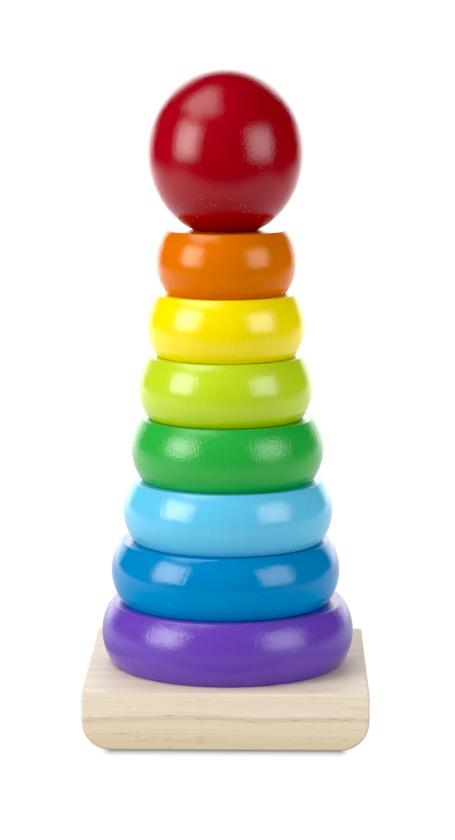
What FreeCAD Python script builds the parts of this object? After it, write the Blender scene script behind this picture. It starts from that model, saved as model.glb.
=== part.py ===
import FreeCAD, Part
import Sketcher
import math
import os
from FreeCAD import Vector
from Sketcher import Constraint

# Stacking ring toy: a square wooden base with a round post, seven turned rings
# of falling size that drop over the post, and a ball that caps its end.
# Millimetres. Origin: centre of the base's underside. +Z up, +Y towards the
# back, +X to the right.

doc = FreeCAD.newDocument("StackingRingToy")

# ---------------------------------------------------------------- dimensions
# The rings from the bottom up: name, largest radius, thickness from flat to
# flat, rest offset along X. The thicknesses are nominally alike, but each ring
# is turned and sanded by itself. The rings are loose, so each rests a little
# off the post's axis.
RINGS = [
    ("purple", 54.50, 27.10, -0.05),
    ("blue", 49.35, 26.65, -0.92),
    ("light_blue", 45.15, 26.35, 0.12),
    ("green", 41.35, 27.00, -0.05),
    ("lime", 37.50, 26.90, -0.90),
    ("yellow", 34.05, 26.70, -0.68),
    ("orange", 30.10, 27.25, -0.56),
]

# alias, value, note
CELLS = [
    # base block
    ("base_width", 120.0, "base block, side to side"),
    ("base_depth", 120.0, "base block, front to back"),
    ("base_height", 24.4, "base block, thickness"),
    ("base_round", 12.3, "round-over along the left and right bottom edges"),
    ("base_end_ease", 1.2, "easing round the front and back faces, sides and foot"),
    ("base_top_ease", 1.1, "easing of the top edges"),
    # post
    ("post_diameter", 12.7, "half inch dowel"),
    ("post_hole_depth", 16.0, "depth of the blind hole the post is glued into"),
    ("post_stand_out", 211.6, "post height above the base top"),
    ("post_end_round", 4.0, "rounding of the post's free end"),
    # what every ring shares
    ("ring_bulge", 22.0, "radius of the turned bulge in section"),
    ("ring_bore", 16.0, "hole through a ring, loose on the post"),
    ("ring_edge_ease", 0.9, "easing where the bulge meets a flat"),
    ("ring_bore_ease", 0.8, "chamfer at both mouths of the hole"),
    # ball
    ("ball_half_width", 33.3, "ball, half its width"),
    ("ball_half_height", 35.7, "ball, half its full height before the flat is cut"),
    ("ball_seat", 32.5, "ball centre above its flat"),
    ("ball_flat_ease", 0.8, "easing around the flat"),
    ("ball_bore", 16.0, "blind hole that drops over the post"),
    ("ball_bore_depth", 28.0, "depth of the blind hole"),
    ("ball_bore_ease", 0.8, "chamfer at the mouth of the blind hole"),
    ("ball_shift", -0.90, "ball, rest offset along X"),
]
for alias, radius, thickness, shift in RINGS:
    title = alias.replace("_", " ") + " ring, "
    CELLS += [
        (alias + "_radius", radius, title + "radius at its waist"),
        (alias + "_thickness", thickness, title + "flat to flat"),
        (alias + "_shift", shift, title + "rest offset along X"),
    ]
SIZE = {alias: value for alias, value, note in CELLS}

# Sketcher's numbers for the points of an edge, the axes and the origin
START, END, CENTRE = 1, 2, 3
X_AXIS, Y_AXIS = -1, -2
ORIGIN = (-1, 1)

SKETCH_NORMAL = Vector(0, 0, 1)
HEIGHT_TOLERANCE = 0.02      # for picking edges by their height
RADIUS_TOLERANCE = 0.1       # for picking circles by their radius
BLOCK_TOLERANCE = 0.01       # for picking the base block's straight edges
HOLE_VOLUME_TOLERANCE = 0.02  # share of a blind hole's volume


def fill_sheet():
    sheet = doc.addObject("Spreadsheet::Sheet", "Dimensions")
    sheet.Label = "Dimensions"
    sheet.set("A1", "dimension")
    sheet.set("B1", "value, mm")
    sheet.set("C1", "what it is")
    for row, (alias, value, note) in enumerate(CELLS, start=2):
        sheet.set("A%d" % row, alias)
        sheet.set("B%d" % row, "%.4f" % value)
        sheet.set("C%d" % row, note)
        sheet.setAlias("B%d" % row, alias)
    doc.recompute()


# ------------------------------------------------------------------- helpers
def new_body(name, label):
    body = doc.addObject("PartDesign::Body", name)
    body.Label = label
    return body


def new_sketch(body, name, role):
    """A sketch on the body's origin plane with this role."""
    plane = next(f for f in body.Origin.OriginFeatures if f.Role == role)
    sketch = body.newObject("Sketcher::SketchObject", name)
    sketch.AttachmentSupport = [(plane, "")]
    sketch.MapMode = "FlatFace"
    return sketch


def line(x1, y1, x2, y2):
    return Part.LineSegment(Vector(x1, y1, 0), Vector(x2, y2, 0))


def arc(x, y, radius, first_angle, last_angle):
    circle = Part.Circle(Vector(x, y, 0), SKETCH_NORMAL, radius)
    return Part.ArcOfCircle(circle, first_angle, last_angle)


def drive(sketch, name, expression, *constraint):
    """Adds a dimensional constraint, names it and binds it to the sheet."""
    index = sketch.addConstraint(Constraint(*constraint))
    sketch.renameConstraint(index, name)
    sketch.setExpression("Constraints." + name, expression)


def circle_sketch(body, name, diameter_alias):
    """One level circle about the body's origin."""
    diameter = SIZE[diameter_alias]
    sketch = new_sketch(body, name, "XY_Plane")
    sketch.addGeometry(Part.Circle(Vector(0, 0, 0), SKETCH_NORMAL, diameter / 2), False)
    sketch.addConstraint(Constraint("Coincident", 0, CENTRE, *ORIGIN))
    drive(sketch, "diameter", "Dimensions." + diameter_alias, "Diameter", 0, diameter)
    return sketch


def revolve(body, name, sketch):
    """A full turn about the sketch's upright axis."""
    turned = body.newObject("PartDesign::Revolution", name)
    turned.Profile = sketch
    turned.ReferenceAxis = (sketch, ["V_Axis"])
    turned.Angle = 360.0
    doc.recompute()
    return turned


def dress_edges(body, kind, name, previous, test, size_alias):
    """A Fillet or Chamfer on the edges of the previous feature that pass the test."""
    edges = ["Edge%d" % index
             for index, edge in enumerate(previous.Shape.Edges, start=1) if test(edge)]
    feature = body.newObject("PartDesign::" + kind, name)
    feature.Base = (previous, edges)
    size_property = "Radius" if kind == "Fillet" else "Size"
    feature.setExpression(size_property, "Dimensions." + size_alias)
    doc.recompute()
    return feature


def circle_at(radius, *heights):
    """Test for a circle about the local Z axis at one of these heights."""
    def test(edge):
        box = edge.BoundBox
        level = any(abs(box.ZMin - height) < HEIGHT_TOLERANCE
                    and abs(box.ZMax - height) < HEIGHT_TOLERANCE
                    for height in heights)
        return (level
                and abs(box.XMax - radius) < RADIUS_TOLERANCE
                and abs(box.XMin + radius) < RADIUS_TOLERANCE)
    return test


def blind_hole(body, name, previous, circle, diameter_alias, depth_alias, upwards=False):
    """A round pocket, downwards unless upwards is set. It must cut its full volume."""
    hole = body.newObject("PartDesign::Pocket", name)
    hole.Profile = circle
    hole.Reversed = upwards
    hole.setExpression("Length", "Dimensions." + depth_alias)
    doc.recompute()
    removed = previous.Shape.Volume - hole.Shape.Volume
    expected = math.pi * SIZE[diameter_alias] ** 2 / 4 * SIZE[depth_alias]
    if abs(removed - expected) > HOLE_VOLUME_TOLERANCE * expected:
        raise RuntimeError("%s removed %.1f mm3, not %.1f" % (name, removed, expected))
    return hole


def rest_on_stack(body, shift_alias, height):
    """Places a loose piece: height is the expression for the stack's top."""
    body.setExpression(".Placement.Base.x", "Dimensions." + shift_alias)
    body.setExpression(".Placement.Base.z", height)
    doc.recompute()


# ---------------------------------------------------------------------- base
def base_section(body):
    """The block seen from the front, its lower corners rounded."""
    half_width = SIZE["base_width"] / 2
    height = SIZE["base_height"]
    corner = SIZE["base_round"]
    inset = half_width - corner     # corner centres from the middle

    sketch = new_sketch(body, "BaseSection", "XZ_Plane")
    foot, right_round, right, top, left, left_round = range(6)
    sketch.addGeometry([
        line(-inset, 0, inset, 0),
        arc(inset, corner, corner, 1.5 * math.pi, 2 * math.pi),
        line(half_width, corner, half_width, height),
        line(half_width, height, -half_width, height),
        line(-half_width, height, -half_width, corner),
        arc(-inset, corner, corner, math.pi, 1.5 * math.pi),
    ], False)
    sketch.addConstraint([
        Constraint("Tangent", foot, END, right_round, START),
        Constraint("Tangent", right_round, END, right, START),
        Constraint("Coincident", right, END, top, START),
        Constraint("Coincident", top, END, left, START),
        Constraint("Tangent", left, END, left_round, START),
        Constraint("Tangent", left_round, END, foot, START),
        Constraint("Horizontal", foot),
        Constraint("Vertical", right),
        Constraint("Vertical", left),
        Constraint("Symmetric", top, END, top, START, Y_AXIS),
        Constraint("PointOnObject", foot, START, X_AXIS),
        Constraint("Equal", right_round, left_round),
    ])
    drive(sketch, "width", "Dimensions.base_width",
          "DistanceX", top, END, top, START, SIZE["base_width"])
    drive(sketch, "height", "Dimensions.base_height",
          "DistanceY", foot, START, top, START, height)
    drive(sketch, "round_over", "Dimensions.base_round", "Radius", right_round, corner)
    return sketch


def is_base_upright(edge):
    """An upright edge at one of the block's four corners."""
    box = edge.BoundBox
    return (abs(abs(box.Center.x) - SIZE["base_width"] / 2) < BLOCK_TOLERANCE
            and abs(abs(box.Center.y) - SIZE["base_depth"] / 2) < BLOCK_TOLERANCE
            and box.ZLength > SIZE["base_height"] * 0.3
            and box.XLength < BLOCK_TOLERANCE)


def is_base_top(edge):
    box = edge.BoundBox
    return (abs(box.ZMin - SIZE["base_height"]) < BLOCK_TOLERANCE
            and abs(box.ZMax - SIZE["base_height"]) < BLOCK_TOLERANCE)


def make_base():
    """A planed strip cut square: padded front to back, so only the sides are
    rounded below, with a blind hole for the post in its top."""
    body = new_body("BaseBody", "base")
    block = body.newObject("PartDesign::Pad", "BaseBlock")
    block.Profile = base_section(body)
    block.Midplane = True
    block.setExpression("Length", "Dimensions.base_depth")
    doc.recompute()

    # Each upright edge runs on smoothly through the rounded corner and along
    # the foot, so easing it eases the outline of the front and back faces.
    ends = dress_edges(body, "Fillet", "BaseEndEdges", block, is_base_upright,
                       "base_end_ease")
    eased = dress_edges(body, "Fillet", "BaseTopEdges", ends, is_base_top,
                        "base_top_ease")

    circle = circle_sketch(body, "PostHoleCircle", "post_diameter")
    circle.setExpression(".AttachmentOffset.Base.z", "Dimensions.base_height")
    doc.recompute()
    blind_hole(body, "PostHole", eased, circle, "post_diameter", "post_hole_depth")
    return body


# ---------------------------------------------------------------------- post
def make_post():
    """A dowel that fills its blind hole, its free end rounded."""
    body = new_body("PostBody", "post")
    dowel = body.newObject("PartDesign::Pad", "Dowel")
    dowel.Profile = circle_sketch(body, "PostCircle", "post_diameter")
    dowel.setExpression("Length", "Dimensions.post_hole_depth + Dimensions.post_stand_out")
    doc.recompute()

    length = SIZE["post_hole_depth"] + SIZE["post_stand_out"]
    dress_edges(body, "Fillet", "PostRoundedEnd", dowel,
                circle_at(SIZE["post_diameter"] / 2, length), "post_end_round")
    body.setExpression(".Placement.Base.z",
                       "Dimensions.base_height - Dimensions.post_hole_depth")
    doc.recompute()
    return body


# --------------------------------------------------------------------- rings
def make_ring(alias, height):
    """A turned ring: flat top and bottom, one even bulge around the outside,
    a straight hole through it with both mouths chamfered."""
    name = alias.title().replace("_", "")
    radius = SIZE[alias + "_radius"]
    thickness = SIZE[alias + "_thickness"]
    bulge = SIZE["ring_bulge"]
    bore_radius = SIZE["ring_bore"] / 2
    bulge_centre = radius - bulge
    flat_radius = bulge_centre + math.sqrt(bulge ** 2 - (thickness / 2) ** 2)
    half_angle = math.asin(thickness / 2 / bulge)

    body = new_body(name + "Body", alias + "_ring")
    sketch = new_sketch(body, name + "Section", "XZ_Plane")
    bottom, outside, top, bore = range(4)
    sketch.addGeometry([
        line(bore_radius, 0, flat_radius, 0),
        arc(bulge_centre, thickness / 2, bulge, -half_angle, half_angle),
        line(flat_radius, thickness, bore_radius, thickness),
        line(bore_radius, thickness, bore_radius, 0),
    ], False)
    sketch.addConstraint([
        Constraint("Coincident", bottom, END, outside, START),
        Constraint("Coincident", outside, END, top, START),
        Constraint("Coincident", top, END, bore, START),
        Constraint("Coincident", bore, END, bottom, START),
        Constraint("Horizontal", bottom),
        Constraint("Horizontal", top),
        Constraint("Vertical", bore),
        Constraint("Vertical", outside, START, outside, END),
        Constraint("PointOnObject", bottom, START, X_AXIS),
    ])
    drive(sketch, "bore_radius", "Dimensions.ring_bore / 2",
          "DistanceX", *ORIGIN, bottom, START, bore_radius)
    drive(sketch, "thickness", "Dimensions.%s_thickness" % alias,
          "DistanceY", bore, END, bore, START, thickness)
    drive(sketch, "bulge", "Dimensions.ring_bulge", "Radius", outside, bulge)
    drive(sketch, "bulge_centre", "Dimensions.%s_radius - Dimensions.ring_bulge" % alias,
          "DistanceX", *ORIGIN, outside, CENTRE, bulge_centre)

    turned = revolve(body, name + "Turned", sketch)
    eased = dress_edges(body, "Fillet", name + "RimEase", turned,
                        circle_at(flat_radius, 0, thickness), "ring_edge_ease")
    dress_edges(body, "Chamfer", name + "HoleMouths", eased,
                circle_at(bore_radius, 0, thickness), "ring_bore_ease")
    rest_on_stack(body, alias + "_shift", height)
    return body


# ---------------------------------------------------------------------- ball
def ball_section(body, flat_radius):
    """Half of an upright oval, cut off flat below."""
    half_width = SIZE["ball_half_width"]
    half_height = SIZE["ball_half_height"]
    seat = SIZE["ball_seat"]
    apex = Vector(0, seat + half_height, 0)

    sketch = new_sketch(body, "BallSection", "XZ_Plane")
    flat, side, axis, oval_height, oval_width = range(5)
    oval = Part.Ellipse(apex, Vector(half_width, seat, 0), Vector(0, seat, 0))
    flat_end = oval.parameter(Vector(flat_radius, 0, 0))
    sketch.addGeometry([
        line(0, 0, flat_radius, 0),
        Part.ArcOfEllipse(oval, 0.0, flat_end),
        Part.LineSegment(apex, Vector(0, 0, 0)),
    ], False)
    # adds the oval's upright and level axes as construction lines
    sketch.exposeInternalGeometry(side)

    # the sketch may turn the arc round, so find which of its ends is the apex
    if (sketch.getPoint(side, END) - apex).Length < 1.0:
        side_bottom, side_top = START, END
    else:
        side_bottom, side_top = END, START
    sketch.addConstraint([
        Constraint("Coincident", flat, END, side, side_bottom),
        Constraint("Coincident", side, side_top, axis, START),
        Constraint("Coincident", axis, END, flat, START),
        Constraint("Coincident", flat, START, *ORIGIN),
        Constraint("Horizontal", flat),
        Constraint("Vertical", axis),
        Constraint("Vertical", oval_height),
        Constraint("PointOnObject", side, CENTRE, Y_AXIS),
    ])
    drive(sketch, "seat", "Dimensions.ball_seat",
          "DistanceY", *ORIGIN, side, CENTRE, seat)
    drive(sketch, "full_height", "Dimensions.ball_half_height * 2",
          "Distance", oval_height, half_height * 2)
    drive(sketch, "full_width", "Dimensions.ball_half_width * 2",
          "Distance", oval_width, half_width * 2)
    return sketch


def make_ball(height):
    """Turned, a little taller than wide, flat underneath, with a blind hole
    that drops over the end of the post."""
    body = new_body("BallBody", "ball")
    flat_radius = SIZE["ball_half_width"] * math.sqrt(
        1 - (SIZE["ball_seat"] / SIZE["ball_half_height"]) ** 2)
    turned = revolve(body, "BallTurned", ball_section(body, flat_radius))
    eased = dress_edges(body, "Fillet", "BallFlatEase", turned,
                        circle_at(flat_radius, 0), "ball_flat_ease")
    circle = circle_sketch(body, "BallHoleCircle", "ball_bore")
    hole = blind_hole(body, "BallHole", eased, circle, "ball_bore", "ball_bore_depth",
                      upwards=True)
    dress_edges(body, "Chamfer", "BallHoleMouth", hole,
                circle_at(SIZE["ball_bore"] / 2, 0), "ball_bore_ease")
    rest_on_stack(body, "ball_shift", height)
    return body


# ------------------------------------------------------------ check and save
def check(pieces):
    problems = []
    for obj in doc.Objects:
        state = [word for word in obj.State if word in ("Invalid", "Error")]
        if state:
            problems.append("%s: %s" % (obj.Name, ", ".join(state)))
    for piece in pieces:
        shape = piece.Shape
        if shape.isNull() or not shape.isValid():
            problems.append(piece.Label + ": shape null or not valid")
        elif len(shape.Solids) != 1:
            problems.append("%s: %d solids" % (piece.Label, len(shape.Solids)))
    if problems:
        raise RuntimeError("; ".join(problems))


fill_sheet()
pieces = [make_base(), make_post()]
stack_top = "Dimensions.base_height"
for alias, *sizes in RINGS:
    pieces.append(make_ring(alias, stack_top))
    stack_top += " + Dimensions.%s_thickness" % alias
pieces.append(make_ball(stack_top))
check(pieces)

os.makedirs("parts", exist_ok=True)
for piece in pieces:
    piece.Shape.exportStep("parts/%s.step" % piece.Label)
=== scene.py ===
# Stacking ring toy: seven painted rings and a ball on a post that stands in a
# wooden base. Metres, +Z up, front towards -Y, origin at the centre of the base's
# underside. Turned sections and textures are worked out in millimetres.
import math

import bmesh
import bpy
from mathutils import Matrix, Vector, noise


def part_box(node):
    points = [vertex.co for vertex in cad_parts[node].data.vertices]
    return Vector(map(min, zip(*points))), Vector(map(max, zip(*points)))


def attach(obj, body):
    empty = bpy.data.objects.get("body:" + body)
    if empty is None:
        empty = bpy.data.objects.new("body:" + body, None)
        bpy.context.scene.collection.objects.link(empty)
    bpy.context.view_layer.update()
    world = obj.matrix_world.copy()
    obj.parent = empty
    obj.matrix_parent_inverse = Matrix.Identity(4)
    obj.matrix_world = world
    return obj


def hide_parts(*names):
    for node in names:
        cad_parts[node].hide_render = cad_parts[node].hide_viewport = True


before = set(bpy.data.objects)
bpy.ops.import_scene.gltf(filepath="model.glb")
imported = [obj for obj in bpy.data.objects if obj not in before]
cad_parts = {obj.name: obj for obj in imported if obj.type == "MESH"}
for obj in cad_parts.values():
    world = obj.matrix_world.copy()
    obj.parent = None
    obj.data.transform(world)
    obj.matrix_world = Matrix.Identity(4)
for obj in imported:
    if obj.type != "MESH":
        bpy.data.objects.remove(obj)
scene = bpy.context.scene
MM = 0.001


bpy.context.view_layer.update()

# ------------------------------------------------------------------ sizes, mm
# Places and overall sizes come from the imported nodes, the shapes between them
# from these.

BORE = 8.0  # radius of the hole in rings and ball
MOUTH = 0.8  # chamfer at the mouths of the bore
HAIR = 0.01  # gap left under each ring and the ball, so no two flats coincide
SEGMENTS = 320  # round rings and ball

RING_BULGE = 22.0  # radius of the rounded outer side, in section
RING_EASE = 0.9  # radius between that side and the flats
RIM_STEP = 0.25  # from the eased edge to the next point of the flat

BALL_WAIST = 32.5  # height of the widest place
BALL_HALF_HEIGHT = 35.7  # from the waist to the crown
BALL_DEPTH = 28.0  # depth of the blind bore
BALL_BORE_EASE = 0.4
BALL_EASE = 0.75  # width of the eased corner on the flat
BALL_EASE_ANGLE = 0.028  # and on the round, in radians
BALL_EASE_POINTS = 5
BALL_STEPS = 110

POST_CHAMFER = 0.4  # at the foot
POST_ROUND = 4.0  # at the top
POST_SEGMENTS = 96

BASE_ROUND = 12.3  # long lower edges
BASE_TOP_EASE = 1.1  # long upper edges
BASE_END_EASE = 1.0  # all round both ends
BASE_END_STEPS = 6
BASE_LENGTH_STEPS = 28
HOLE_RADIUS, HOLE_MOUTH_RADIUS = 6.37, 6.72
HOLE_FLOOR = 8.4  # height of the bottom of the post's hole
HOLE_SEGMENTS = 96

# node, colour, turn of the grain in degrees, strength and tint of the shine,
# how matt it is, size of the fine unevenness in mm
RINGS = [
    ("purple_ring", (107, 67, 179), -50, 0.50, (1, 1, 1), 0.15, 0.12),
    ("blue_ring", (2, 129, 191), 75, 0.48, (0.88, 1, 1), 0.12, 0.07),
    ("light_blue_ring", (100, 194, 231), 14, 0.58, (1, 0.88, 0.95), 0.13, 0.07),
    ("green_ring", (53, 171, 69), -62, 0.56, (1, 1, 1), 0.15, 0.16),
    ("lime_ring", (190, 214, 45), 35, 0.66, (0.82, 0.95, 1), 0.17, 0.07),
    ("yellow_ring", (245, 223, 27), -20, 0.64, (1, 1, 0.98), 0.17, 0.08),
    ("orange_ring", (218, 111, 0), 80, 0.50, (1, 1, 0.72), 0.18, 0.09),
]

# small chips in the paint: x, y, z and radius
CHIPS = {"purple_ring": ((47.15, -18.9, 50.1, 0.75), (46.55, -21.3, 49.5, 0.4))}

# how the light from the table shows in the lower halves: strength and colour of the shine; a ring
# given a colour here also has its paint lightened there, as painted reflection of the table
LOW_SHINE = {"orange_ring": 0.6, "green_ring": 1.35, "blue_ring": 0.65}
LOW_TINT = {"blue_ring": (0.25, 1.0, 1.0)}

# ------------------------------------------------------------------ node help


class Nodes:
    """Short way of writing a shader tree. Values may be numbers or sockets."""

    def __init__(self, owner, output_kind):
        owner.use_nodes = True
        self.tree = owner.node_tree
        self.tree.nodes.clear()
        self.output = self.add(output_kind)

    def add(self, kind, inputs=None, **props):
        node = self.tree.nodes.new(kind)
        for key, value in props.items():
            setattr(node, key, value)
        self.feed(node, inputs or {})
        return node

    def feed(self, node, inputs):
        for key, value in inputs.items():
            self.put(node.inputs[key], value)

    def put(self, socket, value):
        if isinstance(value, bpy.types.NodeSocket):
            self.tree.links.new(value, socket)
        else:
            if socket.type == "RGBA" and len(value) == 3:
                value = (*value, 1.0)
            socket.default_value = value

    def surface(self, shader):
        self.put(self.output.inputs["Surface"], shader)

    def math(self, operation, first, second=None):
        inputs = {0: first} if second is None else {0: first, 1: second}
        return self.add("ShaderNodeMath", inputs, operation=operation).outputs[0]

    def plus(self, first, second):
        return self.math("ADD", first, second)

    def minus(self, first, second):
        return self.math("SUBTRACT", first, second)

    def times(self, first, second):
        return self.math("MULTIPLY", first, second)

    def over(self, first, second):
        return self.math("DIVIDE", first, second)

    def absolute(self, value):
        return self.math("ABSOLUTE", value)

    def swing(self, value, amount):
        """Moves a value of 0 to 1 to lie about zero, then scales it."""
        return self.times(self.minus(value, 0.5), amount)

    def hypot(self, first, second):
        return self.math("SQRT", self.plus(self.times(first, first),
                                           self.times(second, second)))

    def vmath(self, operation, inputs, output=0):
        return self.add("ShaderNodeVectorMath", inputs, operation=operation).outputs[output]

    def split(self, vector):
        return self.add("ShaderNodeSeparateXYZ", {0: vector}).outputs

    def remap(self, value, span=(0.0, 1.0), to=(0.0, 1.0), smooth=False):
        """Carries the span over to another one, clamped at its ends."""
        inputs = {"Value": value, "From Min": span[0], "From Max": span[1],
                  "To Min": to[0], "To Max": to[1]}
        kind = "SMOOTHSTEP" if smooth else "LINEAR"
        return self.add("ShaderNodeMapRange", inputs, interpolation_type=kind).outputs["Result"]

    def mix(self, factor, first, second, mode="MIX"):
        return self._mix("RGBA", "RGBA", factor, first, second, mode)

    def mix_float(self, factor, first, second):
        return self._mix("FLOAT", "VALUE", factor, first, second, "MIX")

    def _mix(self, data_type, socket_type, factor, first, second, mode):
        node = self.add("ShaderNodeMix", {"Factor": factor}, data_type=data_type,
                        blend_type=mode)
        for key, value in (("A", first), ("B", second)):
            self.put([s for s in node.inputs if s.name == key and s.type == socket_type][0],
                     value)
        return [s for s in node.outputs if s.type == socket_type][0]

    def mix_shader(self, factor, first, second):
        inputs = {0: factor, 1: first.outputs[0], 2: second.outputs[0]}
        return self.add("ShaderNodeMixShader", inputs)

    def coords(self, stretch=(1, 1, 1), turn=(0, 0, 0), shift=(0, 0, 0)):
        """Object coordinates in millimetres, turned, then stretched."""
        place = self.add("ShaderNodeTexCoord").outputs["Object"]
        turned = self.add("ShaderNodeMapping", {"Vector": place, "Rotation": turn,
                                                "Scale": (1000, 1000, 1000)})
        return self.add("ShaderNodeMapping", {"Vector": turned.outputs[0], "Location": shift,
                                              "Scale": stretch}).outputs[0]

    def noise(self, stretch, shift, turn=(0, 0, 0), detail=2.0, rough=0.5):
        inputs = {"Vector": self.coords(stretch, turn, shift), "Scale": 1.0,
                  "Detail": detail, "Roughness": rough}
        return self.add("ShaderNodeTexNoise", inputs).outputs[0]

    def voronoi(self, scale, shift):
        vector = self.coords((scale,) * 3, shift=shift)
        return self.add("ShaderNodeTexVoronoi", {"Vector": vector, "Scale": 1.0}).outputs

    def bump(self, height, distance, strength=1.0, normal=None):
        inputs = {"Height": height, "Distance": distance, "Strength": strength}
        if normal is not None:
            inputs["Normal"] = normal
        return self.add("ShaderNodeBump", inputs).outputs[0]


def new_material(name):
    mat = bpy.data.materials.new(name)
    nb = Nodes(mat, "ShaderNodeOutputMaterial")
    bsdf = nb.add("ShaderNodeBsdfPrincipled")
    nb.surface(bsdf.outputs[0])
    return mat, nb, bsdf


def srgb(*colour):
    """Linear colour from sRGB parts of 0 to 255."""
    def linear(v):
        v = v / 255.0
        return v / 12.92 if v <= 0.04045 else ((v + 0.055) / 1.055) ** 2.4
    return tuple(linear(v) for v in colour)


def shade(colour, factor):
    return tuple(min(1.0, v * factor) for v in colour)


# ----------------------------------------------------------------- mesh help


def wobble(point, seed, amount, reach):
    """Smooth, repeatable unevenness of hand finished wood, in millimetres."""
    x, y, z = point
    place = Vector((x / reach + seed * 3.7, y / reach - seed * 1.9, z / reach))
    return amount * noise.noise(place)


def bridge(bm, lower, upper):
    """Faces between two loops of vertices; either may be a single pole."""
    count = max(len(lower), len(upper))
    for k in range(count):
        n = (k + 1) % count
        if len(lower) == 1:
            bm.faces.new((lower[0], upper[n], upper[k]))
        elif len(upper) == 1:
            bm.faces.new((lower[k], lower[n], upper[0]))
        else:
            bm.faces.new((lower[k], lower[n], upper[n], upper[k]))


def lathe(name, profile, segments, centre, closed=False, seed=0.0, uneven=0.03):
    """Turns a profile of (radius, height) points, in millimetres, about Z.
    A point with radius 0 at either end becomes a pole. The surface carries a
    slight unevenness, as a sanded and dipped piece does."""
    bm = bmesh.new()
    rows = []
    for radius, z in profile:
        if radius < 1e-6:
            rows.append([bm.verts.new((0.0, 0.0, z))])
            continue
        row = []
        for k in range(segments):
            angle = 2.0 * math.pi * k / segments
            x, y = radius * math.cos(angle), radius * math.sin(angle)
            grow = 1 + wobble((x, y, z), seed, uneven, reach=13.0) / max(radius, 4.0)
            row.append(bm.verts.new((x * grow, y * grow, z)))
        rows.append(row)
    if closed:
        rows.append(rows[0])
    for lower, upper in zip(rows, rows[1:]):
        bridge(bm, lower, upper)
    return finish_mesh(bm, name, centre)


def link_mesh(bm, name):
    mesh = bpy.data.meshes.new(name)
    bm.to_mesh(mesh)
    bm.free()
    obj = bpy.data.objects.new(name, mesh)
    scene.collection.objects.link(obj)
    return obj


def smooth(mesh):
    for poly in mesh.polygons:
        poly.use_smooth = True


def finish_mesh(bm, name, centre=(0, 0, 0)):
    """Smooth object from a mesh in millimetres, moved to its centre."""
    bmesh.ops.recalc_face_normals(bm, faces=bm.faces)
    bmesh.ops.scale(bm, vec=(MM, MM, MM), verts=bm.verts)
    bmesh.ops.translate(bm, vec=Vector(centre) * MM, verts=bm.verts)
    obj = link_mesh(bm, name)
    smooth(obj.data)
    return obj


def arc(centre_x, centre_z, radius, start, end, steps, skip_first=True):
    """Points on a circle in the profile plane, angles in degrees."""
    points = []
    for i in range(1 if skip_first else 0, steps + 1):
        angle = math.radians(start + (end - start) * i / steps)
        points.append((centre_x + radius * math.cos(angle),
                       centre_z + radius * math.sin(angle)))
    return points


def line(start, end, steps, skip_first=True):
    points = []
    for i in range(1 if skip_first else 0, steps + 1):
        f = i / steps
        points.append((start[0] + (end[0] - start[0]) * f, start[1] + (end[1] - start[1]) * f))
    return points


def between(start, end, f):
    return tuple(a * (1 - f) + b * f for a, b in zip(start, end))


def lift(profile):
    """Keeps a profile a hair above the flat the piece stands on."""
    return [(radius, max(z, HAIR)) for radius, z in profile]


def node_box(node):
    low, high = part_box(node)
    return low / MM, high / MM


def register(piece, rides, replaced):
    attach(piece, rides)
    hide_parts(replaced)


# ---------------------------------------------------------------------- wood

# turns that lay the grain, drawn along X, along another axis
GRAIN_TURNS = {"X": (0, 0, 0), "Y": (0, 0, math.radians(90)), "Z": (0, math.radians(90), 0)}


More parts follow.
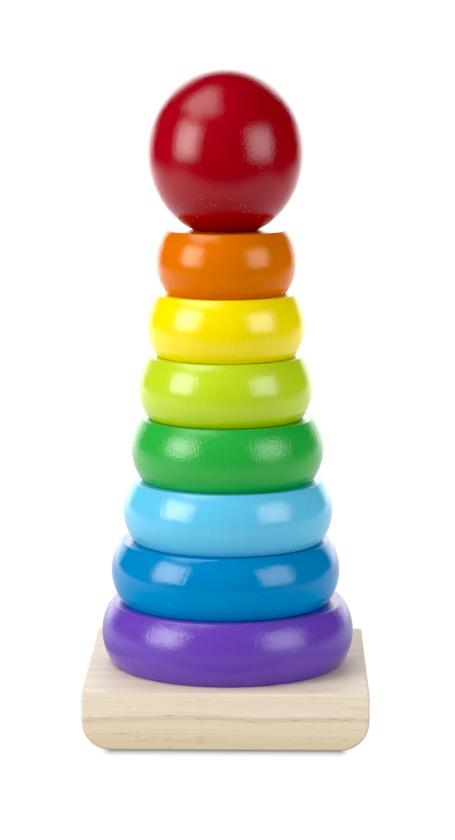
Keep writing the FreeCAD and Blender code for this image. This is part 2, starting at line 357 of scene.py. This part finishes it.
def wood_colour(nb, along, seed, side=None):
    """Bare pale wood with its grain along an axis: broad bands, straight fine
    streaks, fibres and short pores. side gives two heights in mm: the colour turns
    warmer and darker down to the first, partly the board's own tone and partly
    painted shade of the lower part, and a row of pores runs at the second.
    Returns colour, roughness and the masks (fibre, pores, late wood)."""
    turn = GRAIN_TURNS[along]

    def grain(stretch, shift, **settings):
        return nb.noise(stretch, shift, turn, **settings)

    sway = grain((0.016, 0.03, 0.03), (seed, seed * 2, 3))
    place = nb.split(nb.coords(turn=turn))
    # growth layers: nearly flat sheets, tilted a little, so that they show as
    # close straight lines on the sides and as wide bands on the broad faces
    tilt, layer_sway, layer_drift, layer_pitch = 0.16, 4.5, 15.0, 3.7
    layer = nb.plus(place[2], nb.times(place[1], tilt))
    layer = nb.plus(layer, nb.swing(sway, layer_sway))
    drift = grain((0.004, 0.05, 0.11), (seed + 3, 6, 2))
    layer = nb.plus(layer, nb.swing(drift, layer_drift))
    keep_positive = 400.0
    phase = nb.math("FRACT", nb.over(nb.plus(layer, keep_positive), layer_pitch))
    late = nb.times(nb.math("POWER", phase, 3.0), nb.remap(phase, span=(0.90, 1.0), to=(1.0, 0.0)))
    broad = grain((0.006, 0.09, 0.16), (seed + 2, 8, 1))
    streak = grain((0.013, 0.55, 0.55), (seed, 1, seed + 5), detail=3.0, rough=0.6)
    fibre = grain((0.10, 2.0, 2.0), (seed, 7, seed), detail=3.0, rough=0.6)
    blush = grain((0.03, 0.12, 0.12), (seed + 11, 3, 8))
    # pores: short dark dashes along the grain, gathered in loose rows
    dash = grain((0.15, 2.5, 2.5), (seed + 4, 2, 6), detail=1.0, rough=0.4)
    rows = grain((0.022, 0.33, 0.33), (seed + 6, 5, 2))
    gather = nb.remap(rows, span=(0.50, 0.68), smooth=True)
    if side:
        low, row_height = side
        swayed = nb.plus(place[2], nb.swing(sway, 5.0))
        row = nb.remap(nb.absolute(nb.minus(swayed, row_height)), span=(0.4, 1.7),
                       to=(1.0, 0.0), smooth=True)
        gather = nb.math("MAXIMUM", gather, row)
    pores = nb.times(nb.remap(dash, span=(0.60, 0.70), smooth=True), gather)

    colour = nb.mix(nb.remap(broad, span=(0.3, 0.7)), srgb(245, 235, 218), srgb(238, 223, 199))
    layers = []  # strength of each tint, and the tint
    if side:
        # warmer and darker towards the bottom: partly the board's own tone, partly painted shade
        # of the lower part
        lower_tone_and_shade = nb.remap(swayed, span=(row_height + 2.5, low), smooth=True)
        layers += [(nb.times(lower_tone_and_shade, 0.85), (229, 208, 167)), (nb.times(row, 0.48), (199, 176, 139))]
    layers += [
        (nb.remap(blush, span=(0.45, 0.75), to=(0.0, 0.30)), (238, 213, 194)),
        (nb.remap(streak, span=(0.35, 0.75), to=(0.0, 0.42)), (223, 204, 175)),
        (nb.remap(fibre, span=(0.30, 0.72), to=(0.0, 0.36)), (211, 192, 165)),
        (nb.times(late, 0.24), (202, 178, 146)),
        (nb.times(pores, 0.52), (150, 121, 88)),
    ]
    for amount, tint in layers:
        colour = nb.mix(amount, colour, srgb(*tint))
    rough = nb.remap(fibre, span=(0.2, 0.8), to=(0.52, 0.66))
    rough = nb.plus(rough, nb.times(pores, 0.12))
    return colour, rough, (fibre, pores, late)


def object_normal(nb):
    return nb.split(nb.add("ShaderNodeTexCoord").outputs["Normal"])


def bare_wood(name, along, seed, side=None):
    mat, nb, bsdf = new_material(name)
    colour, rough, (fibre, pores, late) = wood_colour(nb, along, seed, side)
    # how far fibres and late wood stand out and pores sink in
    height = nb.minus(nb.times(fibre, 0.55), nb.times(pores, 1.2))
    height = nb.minus(height, nb.times(late, 0.25))
    # end grain: darker, rougher, with small specks
    ends = nb.remap(nb.absolute(object_normal(nb)["XYZ".index(along)]), span=(0.55, 0.95))
    dots = nb.voronoi(scale=1.7, shift=(seed, 2, 2))
    specks = nb.remap(dots["Distance"], span=(0.10, 0.22), to=(1.0, 0.0))
    colour = nb.mix(nb.times(ends, 0.45), colour, srgb(208, 184, 158))
    colour = nb.mix(nb.times(nb.times(ends, specks), 0.4), colour, srgb(150, 120, 92))
    rough = nb.plus(rough, nb.times(ends, 0.1))
    # edges round the top: duller from handling, and darker, partly wear and partly painted shade
    # that holds down the light they catch
    normal = object_normal(nb)
    sideways = nb.math("MAXIMUM", nb.absolute(normal[0]), nb.absolute(normal[1]))
    worn_and_shaded_edge = nb.remap(nb.times(sideways, normal[2]), span=(0.05, 0.45), smooth=True)
    # painted shade on the top edges, partly wear
    colour = nb.mix(nb.times(worn_and_shaded_edge, 0.45), colour, srgb(194, 176, 150))
    rough = nb.plus(rough, nb.times(worn_and_shaded_edge, 0.2))
    nb.feed(bsdf, {"Base Color": colour, "Roughness": rough, "IOR": 1.45,
                   "Normal": nb.bump(height, distance=0.00006, strength=0.8)})
    return mat


# --------------------------------------------------------------------- paint


def dust_specks(nb, seed, height, scale, threshold, band):
    """Dust caught in the wet paint: round specks in those cells whose random
    number is above the threshold. band gives the height in mm where they are
    thickest and how far they reach from it."""
    cells = nb.voronoi(scale, shift=(seed, 4, 4))
    pick = nb.add("ShaderNodeSeparateColor", {0: cells["Color"]}).outputs[0]
    spot = nb.remap(cells["Distance"], span=(0.2 * scale, 0.42 * scale), to=(1.0, 0.0))
    speck = nb.times(spot, nb.math("GREATER_THAN", pick, threshold))
    if band:
        middle, reach = band
        near = nb.remap(nb.absolute(nb.minus(height, middle)), span=(0.0, reach), to=(1.0, 0.0))
        speck = nb.times(speck, near)
    return speck


def paint(name, colour, seed, centre, grain_turn, shine, matt, grit_size,
          tint=(1, 1, 1), low_shine=1.0, low_tint=None, upright_grain=False, chips=(),
          dust_scale=0.21, dust_threshold=0.93, dust_band=None, dust_pale=0.3,
          grit_scale=1.05, peel_size=0.10, relief_size=0.07):
    """Gloss paint dipped over turned wood. The grain shows through as a fine
    relief that only the highlights reveal. Inside the bore the wood is bare.
    The sizes of grit, peel and relief are heights in mm; upright_grain is for
    the ball."""
    mat, nb, bsdf = new_material(name)
    base = srgb(*colour)
    coord = nb.add("ShaderNodeTexCoord").outputs
    # millimetres from the piece's own axis and foot
    about = nb.vmath("SUBTRACT", {0: coord["Object"], 1: tuple(v * MM for v in centre)})
    about = nb.split(nb.vmath("SCALE", {0: about, "Scale": 1000.0}))
    from_axis, height = nb.hypot(about[0], about[1]), about[2]
    facing_up = nb.split(coord["Normal"])[2]

    turn = (0, 0, math.radians(grain_turn))
    if upright_grain:
        grain_stretch, fine_stretch = (0.55, 0.55, 0.03), (1.5, 1.5, 0.06)
    else:
        grain_stretch, fine_stretch = (0.55, 0.03, 0.05), (1.5, 0.06, 0.10)
    grain = nb.noise(grain_stretch, (seed, 1, seed), turn)
    fine = nb.noise(fine_stretch, (seed + 3, 5, 2), turn, rough=0.55)

    # colour: darker clouds and streaks, pale dust
    cloud = nb.noise((0.035, 0.035, 0.05), (seed + 7, 3, 1), detail=3.0)
    cloud_mask = nb.remap(cloud, span=(0.3, 0.7), to=(0.0, 0.55))
    colour = nb.mix(cloud_mask, base, shade(base, 0.94))
    streak = nb.remap(grain, span=(0.35, 0.70))
    colour = nb.mix(nb.times(streak, 0.22), colour, shade(base, 0.86))
    speck = dust_specks(nb, seed, height, dust_scale, dust_threshold, dust_band)
    pale = tuple(min(1.0, v * 0.6 + 0.35) for v in base)
    colour = nb.mix(nb.times(speck, dust_pale), colour, pale)

    patches = nb.noise((0.09,) * 3, (seed, 6, 2), detail=3.0, rough=0.6)
    rough = nb.remap(patches, span=(0.3, 0.7), to=(matt - 0.03, matt + 0.03))
    rough = nb.plus(rough, nb.times(speck, 0.15))

    # relief, from the wood outwards
    relief = nb.plus(nb.times(grain, 1.0), nb.times(fine, 0.35))
    normal = nb.bump(relief, distance=relief_size * MM)
    peel = nb.noise((0.16,) * 3, (seed, 3, 9))
    normal = nb.bump(peel, distance=peel_size * MM, strength=0.8, normal=normal)
    # the flats were sanded smoother than the turned rounds
    if upright_grain:
        round_part = nb.remap(facing_up, span=(-0.98, -0.90), smooth=True)
    else:
        round_part = nb.remap(nb.absolute(facing_up), span=(0.80, 0.96), to=(1.0, 0.0),
                              smooth=True)
    grit = nb.noise((grit_scale,) * 3, (seed, 5, 1), rough=0.6)
    normal = nb.bump(nb.swing(grit, round_part), distance=grit_size * MM, normal=normal)
    normal = nb.bump(speck, distance=0.00003, strength=0.6, normal=normal)

    # dark chips with ragged edges
    for x, y, z, radius in chips:
        away = nb.vmath("DISTANCE", {0: nb.coords(), 1: (x, y, z)}, output=1)
        away = nb.plus(away, nb.swing(fine, radius * 0.8))
        chip = nb.remap(away, span=(radius * 0.7, radius), to=(1.0, 0.0))
        colour = nb.mix(nb.times(chip, 0.9), colour, srgb(58, 44, 62))
        rough = nb.mix_float(chip, rough, 0.6)

    # bare wood inside the bore, with an uneven edge of paint at its mouths
    ragged = nb.noise((0.5,) * 3, (seed, 9, 9), detail=3.0, rough=0.6)
    bare = nb.remap(nb.plus(from_axis, nb.swing(ragged, 1.4)),
                    span=(BORE + 0.15, BORE + 0.65), to=(1.0, 0.0))
    if upright_grain:  # only the bore, not the crown above it
        below_crown = 40.0
        bare = nb.times(bare, nb.math("LESS_THAN", height, below_crown))
    wood, wood_rough, _ = wood_colour(nb, "Z" if upright_grain else "Y", seed)
    colour = nb.mix(bare, colour, wood)
    rough = nb.mix_float(bare, rough, wood_rough)

    # the lower half has its own strength and, at times, colour of shine; where it has a colour,
    # the paint's own colour there is lightened too, as painted reflection of the pale table
    level = nb.remap(facing_up, span=(-0.45, 0.05), to=(shine * low_shine, shine), smooth=True)
    nb.feed(bsdf, {"Specular Tint": tint})
    if low_tint:
        lower_half_light = nb.remap(facing_up, span=(-0.30, 0.10), to=(1.0, 0.0), smooth=True)
        # painted reflection: green and blue lifted in the lower half, for the pale table mirrored
        # there
        colour = nb.mix(lower_half_light, colour, (1.0, 1.14, 1.14), "MULTIPLY")
        nb.feed(bsdf, {"Specular Tint": nb.mix(lower_half_light, tint, low_tint)})
    nb.feed(bsdf, {"Base Color": colour, "Roughness": rough, "IOR": 1.5,
                   "Specular IOR Level": level, "Normal": normal})
    return mat


# --------------------------------------------------------------------- rings


def ring_profile(radius, thick):
    """Section of a turned ring, from the foot of its bore round the outside."""
    bulge_x = radius - RING_BULGE
    rise = thick / 2.0 - RING_EASE
    ease_x = bulge_x + math.sqrt((RING_BULGE - RING_EASE) ** 2 - rise ** 2)
    meet = math.degrees(math.atan2(rise, ease_x - bulge_x))
    rim, mouth = ease_x - RIM_STEP, BORE + MOUTH
    points = [(BORE, MOUTH)]
    points += line((BORE, MOUTH), (mouth, 0.0), 3)
    points += line((mouth, 0.0), (rim, 0.0), 12)
    points += arc(ease_x, RING_EASE, RING_EASE, -90, -meet, 8, skip_first=False)
    points += arc(bulge_x, thick / 2.0, RING_BULGE, -meet, meet, 44)
    points += arc(ease_x, thick - RING_EASE, RING_EASE, meet, 90, 8)
    points += line((ease_x, thick), (rim, thick), 1)
    points += line((rim, thick), (mouth, thick), 12)
    points += line((mouth, thick), (BORE, thick - MOUTH), 3)
    points += line((BORE, thick - MOUTH), (BORE, MOUTH), 10)[:-1]
    return points


def build_ring(number, node, colour, grain_turn, shine, tint, matt, grit_size):
    low, high = node_box(node)
    radius = (high.x - low.x) / 2.0
    centre = ((high.x + low.x) / 2.0, (high.y + low.y) / 2.0, low.z)
    ring = lathe(node + "_turned", lift(ring_profile(radius, high.z - low.z)),
                 SEGMENTS, centre, closed=True, seed=float(number))
    ring.data.materials.append(
        paint(node + "_paint", colour, 11.0 * number, centre, grain_turn, shine, matt,
              grit_size, tint, chips=CHIPS.get(node, ()),
              low_shine=LOW_SHINE.get(node, 1.0), low_tint=LOW_TINT.get(node)))
    register(ring, node, node)


for number, row in enumerate(RINGS, start=1):
    build_ring(number, *row)

# ---------------------------------------------------------------------- ball


def ball_profile(half_width):
    """Section from the top of the blind bore, down and round to the crown."""
    def on_round(angle):
        return (half_width * math.cos(angle), BALL_WAIST + BALL_HALF_HEIGHT * math.sin(angle))

    flat_angle = math.asin(-BALL_WAIST / BALL_HALF_HEIGHT)
    start = flat_angle + BALL_EASE_ANGLE
    corner = (half_width * math.cos(flat_angle), 0.0)
    ease_start = (corner[0] - BALL_EASE, 0.0)
    ease_end = on_round(start)

    top = (0.0, BALL_DEPTH)
    bore_top = (BORE, BALL_DEPTH - BALL_BORE_EASE)
    points = [top] + line(top, (BORE - BALL_BORE_EASE, BALL_DEPTH), 4) + [bore_top]
    points += line(bore_top, (BORE, MOUTH), 10)
    points += line((BORE, MOUTH), (BORE + MOUTH, 0.0), 3)
    points += line((BORE + MOUTH, 0.0), ease_start, 5)
    for i in range(1, BALL_EASE_POINTS + 1):  # eased corner between flat and round
        f = i / (BALL_EASE_POINTS + 1.0)
        points.append(between(between(ease_start, corner, f), between(corner, ease_end, f), f))
    for i in range(BALL_STEPS):
        points.append(on_round(start + (math.pi / 2 - start) * i / BALL_STEPS))
    points.append((0.0, BALL_WAIST + BALL_HALF_HEIGHT))
    return points


def build_ball():
    low, high = node_box("ball")
    centre = ((high.x + low.x) / 2.0, 0.0, low.z)
    ball = lathe("ball_turned", lift(ball_profile((high.x - low.x) / 2.0)), SEGMENTS, centre,
                 seed=9.0, uneven=0.04)
    ball.data.materials.append(
        paint("ball_red_paint", (163, 15, 41), seed=97.0, centre=centre, grain_turn=25,
              upright_grain=True, shine=0.50, matt=0.135, grit_size=0.10, grit_scale=1.35,
              peel_size=0.05, relief_size=0.045, dust_threshold=0.62,
              dust_band=(9.0, 12.0), dust_scale=0.5, dust_pale=0.38))
    register(ball, "ball", "ball")


build_ball()

# ---------------------------------------------------------------------- post


def build_post():
    low, high = node_box("post")
    radius, length = (high.x - low.x) / 2.0, high.z - low.z
    shoulder_x, shoulder_z = radius - POST_ROUND, length - POST_ROUND
    profile = [(0.0, 0.0)] + line((0.0, 0.0), (radius - POST_CHAMFER, 0.0), 4)
    profile += [(radius, POST_CHAMFER)]
    profile += line((radius, POST_CHAMFER), (radius, shoulder_z), 60)
    profile += arc(shoulder_x, shoulder_z, POST_ROUND, 0, 90, 12)
    profile += line((shoulder_x, length), (0.0, length), 4)
    post = lathe("post_dowel", profile, POST_SEGMENTS, (0.0, 0.0, low.z), seed=14.0)
    post.data.materials.append(bare_wood("post_wood", along="Z", seed=31.0))
    register(post, "base_and_post", "post")


build_post()

# ---------------------------------------------------------------------- base


def base_section(half_width, height, inset):
    """The block's section across X, shrunk evenly by inset."""
    radius, ease = BASE_ROUND - inset, max(BASE_TOP_EASE - inset, 0.04)
    x, z = half_width - inset, height - inset
    round_x, round_z = x - radius, inset + radius
    points = line((-round_x, inset), (round_x, inset), 20, skip_first=False)
    points += arc(round_x, round_z, radius, -90, 0, 18)
    points += line((x, round_z), (x, z - ease), 5)
    points += arc(x - ease, z - ease, ease, 0, 90, 6)
    points += line((x - ease, z), (-(x - ease), z), 28)
    points += arc(-(x - ease), z - ease, ease, 90, 180, 6)
    points += line((-x, z - ease), (-x, round_z), 5)
    points += arc(-round_x, round_z, radius, 180, 270, 18)[:-1]
    return points


def base_stations(half_length):
    """Places along Y and the inset of the section there."""
    end = []
    for i in range(BASE_END_STEPS + 1):
        angle = math.radians(90.0 * i / BASE_END_STEPS)
        end.append((-half_length + BASE_END_EASE * (1 - math.cos(angle)),
                    BASE_END_EASE * (1 - math.sin(angle))))
    straight = 2 * half_length - 2 * BASE_END_EASE
    middle = [(-half_length + BASE_END_EASE + straight * i / BASE_LENGTH_STEPS, 0.0)
              for i in range(1, BASE_LENGTH_STEPS)]
    return end + middle + [(-y, inset) for y, inset in reversed(end)]


def base_block(half_width, half_length, height):
    bm = bmesh.new()
    loops = []
    for y, inset in base_stations(half_length):
        loop = []
        for x, z in base_section(half_width, height, inset):
            # only the eased edges of the ends wander, the faces stay flat
            wander = 0.0
            if 0 < inset < BASE_END_EASE and abs(x) < half_width * 0.8:
                wander = wobble((x, y, z), seed=21.0, amount=0.05, reach=17.0)
            loop.append(bm.verts.new((x, y + wander, z)))
        loops.append(loop)
    for near, far in zip(loops, loops[1:]):
        bridge(bm, near, far)
    bm.faces.new(loops[0])
    bm.faces.new(list(reversed(loops[-1])))
    return finish_mesh(bm, "base_block")


def hole_cutter(height):
    """Solid of the post's hole, with a chamfered mouth."""
    bm = bmesh.new()
    profile = [(HOLE_RADIUS, HOLE_FLOOR), (HOLE_RADIUS, height - 0.30),
               (HOLE_MOUTH_RADIUS, height + 0.05), (HOLE_MOUTH_RADIUS, height + 4.0)]
    angles = [2 * math.pi * k / HOLE_SEGMENTS for k in range(HOLE_SEGMENTS)]
    rows = [[bm.verts.new((radius * math.cos(angle), radius * math.sin(angle), z))
             for angle in angles] for radius, z in profile]
    for lower, upper in zip(rows, rows[1:]):
        bridge(bm, lower, upper)
    bm.faces.new(list(reversed(rows[0])))
    bm.faces.new(rows[-1])
    return finish_mesh(bm, "post_hole_cutter")


def cut_away(obj, cutter):
    boolean = obj.modifiers.new("post_hole", "BOOLEAN")
    boolean.operation = "DIFFERENCE"
    boolean.object = cutter
    boolean.solver = "EXACT"
    bpy.context.view_layer.update()
    cut = bpy.data.meshes.new_from_object(
        obj.evaluated_get(bpy.context.evaluated_depsgraph_get()))
    obj.modifiers.clear()
    obj.data = cut
    bpy.data.objects.remove(cutter)


def build_base():
    low, high = node_box("base")
    base = base_block((high.x - low.x) / 2.0, (high.y - low.y) / 2.0, high.z)
    cut_away(base, hole_cutter(high.z))
    smooth(base.data)
    even = base.modifiers.new("even_shading", "WEIGHTED_NORMAL")
    even.keep_sharp = False
    even.weight = 80
    base.data.materials.clear()
    base.data.materials.append(bare_wood("base_wood", along="X", seed=5.0, side=(1.0, 13.3)))
    register(base, "base_and_post", "base")


build_base()

# -------------------------------------------------------------------- lights


def emitter(name, corners, strength, soft, colour=(1, 1, 1), hot=0.0):
    """A glowing panel that fades out towards its edges, over the shares of its
    width and height in soft, and, with hot, is brighter in the middle."""
    mesh = bpy.data.meshes.new(name)
    mesh.from_pydata([tuple(corner) for corner in corners], [], [(0, 1, 2, 3)])
    uv = mesh.uv_layers.new(name="uv")
    for loop, place in zip(uv.data, ((0, 0), (1, 0), (1, 1), (0, 1))):
        loop.uv = place
    obj = bpy.data.objects.new(name, mesh)
    scene.collection.objects.link(obj)
    mat = bpy.data.materials.new(name + "_glow")
    nb = Nodes(mat, "ShaderNodeOutputMaterial")
    across = nb.split(nb.add("ShaderNodeTexCoord").outputs["UV"])
    fades = []
    for k in (0, 1):
        edge = nb.math("MINIMUM", across[k], nb.minus(1.0, across[k]))
        fades.append(nb.remap(edge, span=(0.0, soft[k]), smooth=True))
    off_centre = nb.hypot(nb.minus(across[0], 0.5), nb.minus(across[1], 0.5))
    power = nb.remap(off_centre, span=(0.0, 0.5),
                     to=(strength * (1.0 + hot), strength * (1.0 - hot)), smooth=True)
    glow = nb.add("ShaderNodeEmission", {"Color": colour, "Strength": power})
    clear = nb.add("ShaderNodeBsdfTransparent")
    nb.surface(nb.mix_shader(nb.times(*fades), clear, glow).outputs[0])
    mesh.materials.append(mat)
    obj.visible_camera = False
    obj.visible_shadow = False


def softbox(name, azimuth, elevation, wide, tall, distance=2.0, **light):
    """Azimuth is from the front (-Y) towards +X, as seen from the toy."""
    azimuth, elevation = math.radians(azimuth), math.radians(elevation)
    away = Vector((math.sin(azimuth) * math.cos(elevation),
                   -math.cos(azimuth) * math.cos(elevation), math.sin(elevation)))
    centre = Vector((0, 0, 0.14)) + away * distance
    side = away.cross(Vector((0, 0, 1))).normalized()
    up = side.cross(away).normalized()
    corners = [centre - side * wide / 2 - up * tall / 2, centre + side * wide / 2 - up * tall / 2,
               centre + side * wide / 2 + up * tall / 2, centre - side * wide / 2 + up * tall / 2]
    emitter(name, corners, **light)


def backdrop(name, x_span, z_span, y, **light):
    (left, right), (bottom, top) = x_span, z_span
    emitter(name, [(left, y, bottom), (right, y, bottom), (right, y, top), (left, y, top)],
            **light)


softbox("softbox_left", azimuth=-59.3, elevation=17.5, wide=1.40, tall=1.62,
        strength=6.9, colour=(1.0, 0.985, 0.96), soft=(0.13, 0.16), hot=0.12)
softbox("softbox_right", azimuth=54.6, elevation=14.8, wide=1.56, tall=1.60,
        strength=4.0, colour=(0.97, 0.985, 1.0), soft=(0.15, 0.18), hot=0.12)
emitter("softbox_top",
        [(-1.65, -1.05, 1.7), (-0.12, -1.17, 1.7), (-0.12, 0.36, 1.7), (-1.65, 0.42, 1.7)],
        strength=3.2, soft=(0.16, 0.14))
backdrop("backdrop_low", x_span=(-1.42, 1.36), z_span=(-0.20, 0.62), y=1.35,
         strength=2.1, soft=(0.10, 0.25))
backdrop("backdrop_high", x_span=(-0.98, 0.96), z_span=(0.30, 1.40), y=1.36,
         strength=2.4, soft=(0.10, 0.20))

# --------------------------------------------------------------------- table
# What the camera sees of it is white, with a thin soft contact shadow; what the
# toy's paint reflects of it is a lit pale surface.

TABLE_CELLS = 16
TABLE_CORNER = (-1.30, -0.47)
TABLE_SIZE = (2.55, 1.82)
SHADOW_REACH = (0.0045, 0.011)  # of the contact shadow, along X and Y


def table_light(nb, x, y):
    """How brightly the studio lights the table, place by place."""
    # brighter to the left and right, and towards the back
    level = nb.plus(nb.remap(x, span=(-0.12, -0.42), to=(0.0, 0.30)),
                    nb.remap(x, span=(0.08, 0.45), to=(0.0, 0.08)))
    level = nb.plus(level, nb.remap(y, span=(0.0, 0.35), to=(0.70, 0.85)))
    level = nb.plus(level, nb.remap(y, span=(0.35, 1.0), to=(0.0, 0.85)))
    # fading out at the front, then at the right and left edges, where the
    # fade lies further out towards the back
    level = nb.times(level, nb.remap(y, span=(-0.46, -0.20), to=(0.10, 1.0), smooth=True))
    rear = nb.remap(y, span=(0.15, 0.55))
    side_fades = (
        # span and levels in front, span and levels at the back
        ((0.45, 0.76), (1.0, 0.15), (0.70, 1.20), (1.0, 0.3)),
        ((-0.95, -0.60), (0.2, 1.0), (-1.25, -0.75), (0.3, 1.0)),
    )
    for front_span, front_to, back_span, back_to in side_fades:
        fade = nb.mix_float(rear, nb.remap(x, front_span, front_to, smooth=True),
                            nb.remap(x, back_span, back_to, smooth=True))
        level = nb.times(level, fade)
    # darker round the toy
    return nb.times(level, nb.remap(nb.hypot(x, y), span=(0.09, 0.22), to=(0.38, 1.0)))


def contact_shadow(nb, x, y):
    """Darkness round the part of the base that touches the table."""
    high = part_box("base")[1]
    feet = (high.x - BASE_ROUND * MM, high.y - BASE_END_EASE * MM)
    steps = []
    for place, foot, reach in zip((x, y), feet, SHADOW_REACH):
        beyond = nb.math("MAXIMUM", nb.minus(nb.absolute(place), foot), 0.0)
        steps.append(nb.over(beyond, reach))
    return nb.math("POWER", nb.remap(nb.hypot(*steps), to=(1.0, 0.0)), 1.6)


def table_material():
    mat = bpy.data.materials.new("table_white")
    nb = Nodes(mat, "ShaderNodeOutputMaterial")
    mat.cycles.emission_sampling = "NONE"
    x, y, _ = nb.split(nb.add("ShaderNodeNewGeometry").outputs["Position"])
    path = nb.add("ShaderNodeLightPath").outputs
    diffuse_gain = nb.remap(path["Is Diffuse Ray"], to=(1.0, 1.4))
    lit = nb.add("ShaderNodeEmission",
                 {"Strength": nb.times(table_light(nb, x, y), diffuse_gain)})
    shadow_depth = 0.76
    seen_level = nb.minus(1.0, nb.times(contact_shadow(nb, x, y), shadow_depth))
    seen = nb.add("ShaderNodeEmission", {"Strength": seen_level})
    nb.surface(nb.mix_shader(path["Is Camera Ray"], lit, seen).outputs[0])
    return mat


def build_table():
    bm = bmesh.new()
    xs, ys = [[corner + extent * i / TABLE_CELLS for i in range(TABLE_CELLS + 1)]
              for corner, extent in zip(TABLE_CORNER, TABLE_SIZE)]
    grid = [[bm.verts.new((x, y, 0.0)) for x in xs] for y in ys]
    for j in range(TABLE_CELLS):
        for i in range(TABLE_CELLS):
            bm.faces.new((grid[j][i], grid[j][i + 1], grid[j + 1][i + 1], grid[j + 1][i]))
    table = link_mesh(bm, "table")
    table.data.materials.append(table_material())


build_table()

# --------------------------------------------------------------------- world


def build_world():
    """White behind the toy for the camera, a dim room for reflections, and for
    diffuse light a soft fill from all round, stronger from the right."""
    world = bpy.data.worlds.new("studio")
    scene.world = world
    nb = Nodes(world, "ShaderNodeOutputWorld")
    white = nb.add("ShaderNodeBackground", {"Color": (1, 1, 1)})
    room = nb.add("ShaderNodeBackground", {"Color": (0.9, 0.95, 1.0), "Strength": 0.012})
    toward = nb.split(nb.add("ShaderNodeTexCoord").outputs["Generated"])
    fill_level = nb.remap(toward[0], span=(-0.9, 0.9), to=(0.05, 0.42))
    fill = nb.add("ShaderNodeBackground", {"Color": (1.0, 0.99, 0.98), "Strength": fill_level})
    path = nb.add("ShaderNodeLightPath").outputs
    unseen = nb.mix_shader(path["Is Diffuse Ray"], room, fill)
    nb.surface(nb.mix_shader(path["Is Camera Ray"], unseen, white).outputs[0])
    world.cycles.sampling_method = "NONE"


build_world()

# -------------------------------------------------------------------- camera


def build_camera(place, pitch, yaw, lens):
    """Pitch is downwards and yaw from +Y towards -X, in degrees; lens in mm."""
    pitch, yaw = math.radians(pitch), math.radians(yaw)
    forward = Vector((-math.sin(yaw) * math.cos(pitch), math.cos(yaw) * math.cos(pitch),
                      -math.sin(pitch)))
    data = bpy.data.cameras.new("camera")
    data.sensor_width = 36.0
    data.lens = lens
    data.clip_start, data.clip_end = 0.05, 20.0
    camera = bpy.data.objects.new("camera", data)
    scene.collection.objects.link(camera)
    camera.location = place
    camera.rotation_mode = "QUATERNION"
    camera.rotation_quaternion = forward.to_track_quat("-Z", "Y")
    scene.camera = camera


build_camera(place=(0.02095, -1.2087, 0.3228), pitch=9.056, yaw=0.998, lens=121.8557143)

view = scene.view_settings
view.view_transform = "Standard"
view.look = "None"
view.use_curve_mapping = True
view.curve_mapping.black_level = (0.020, 0.011, 0.017)  # slightly deeper darks
view.curve_mapping.update()
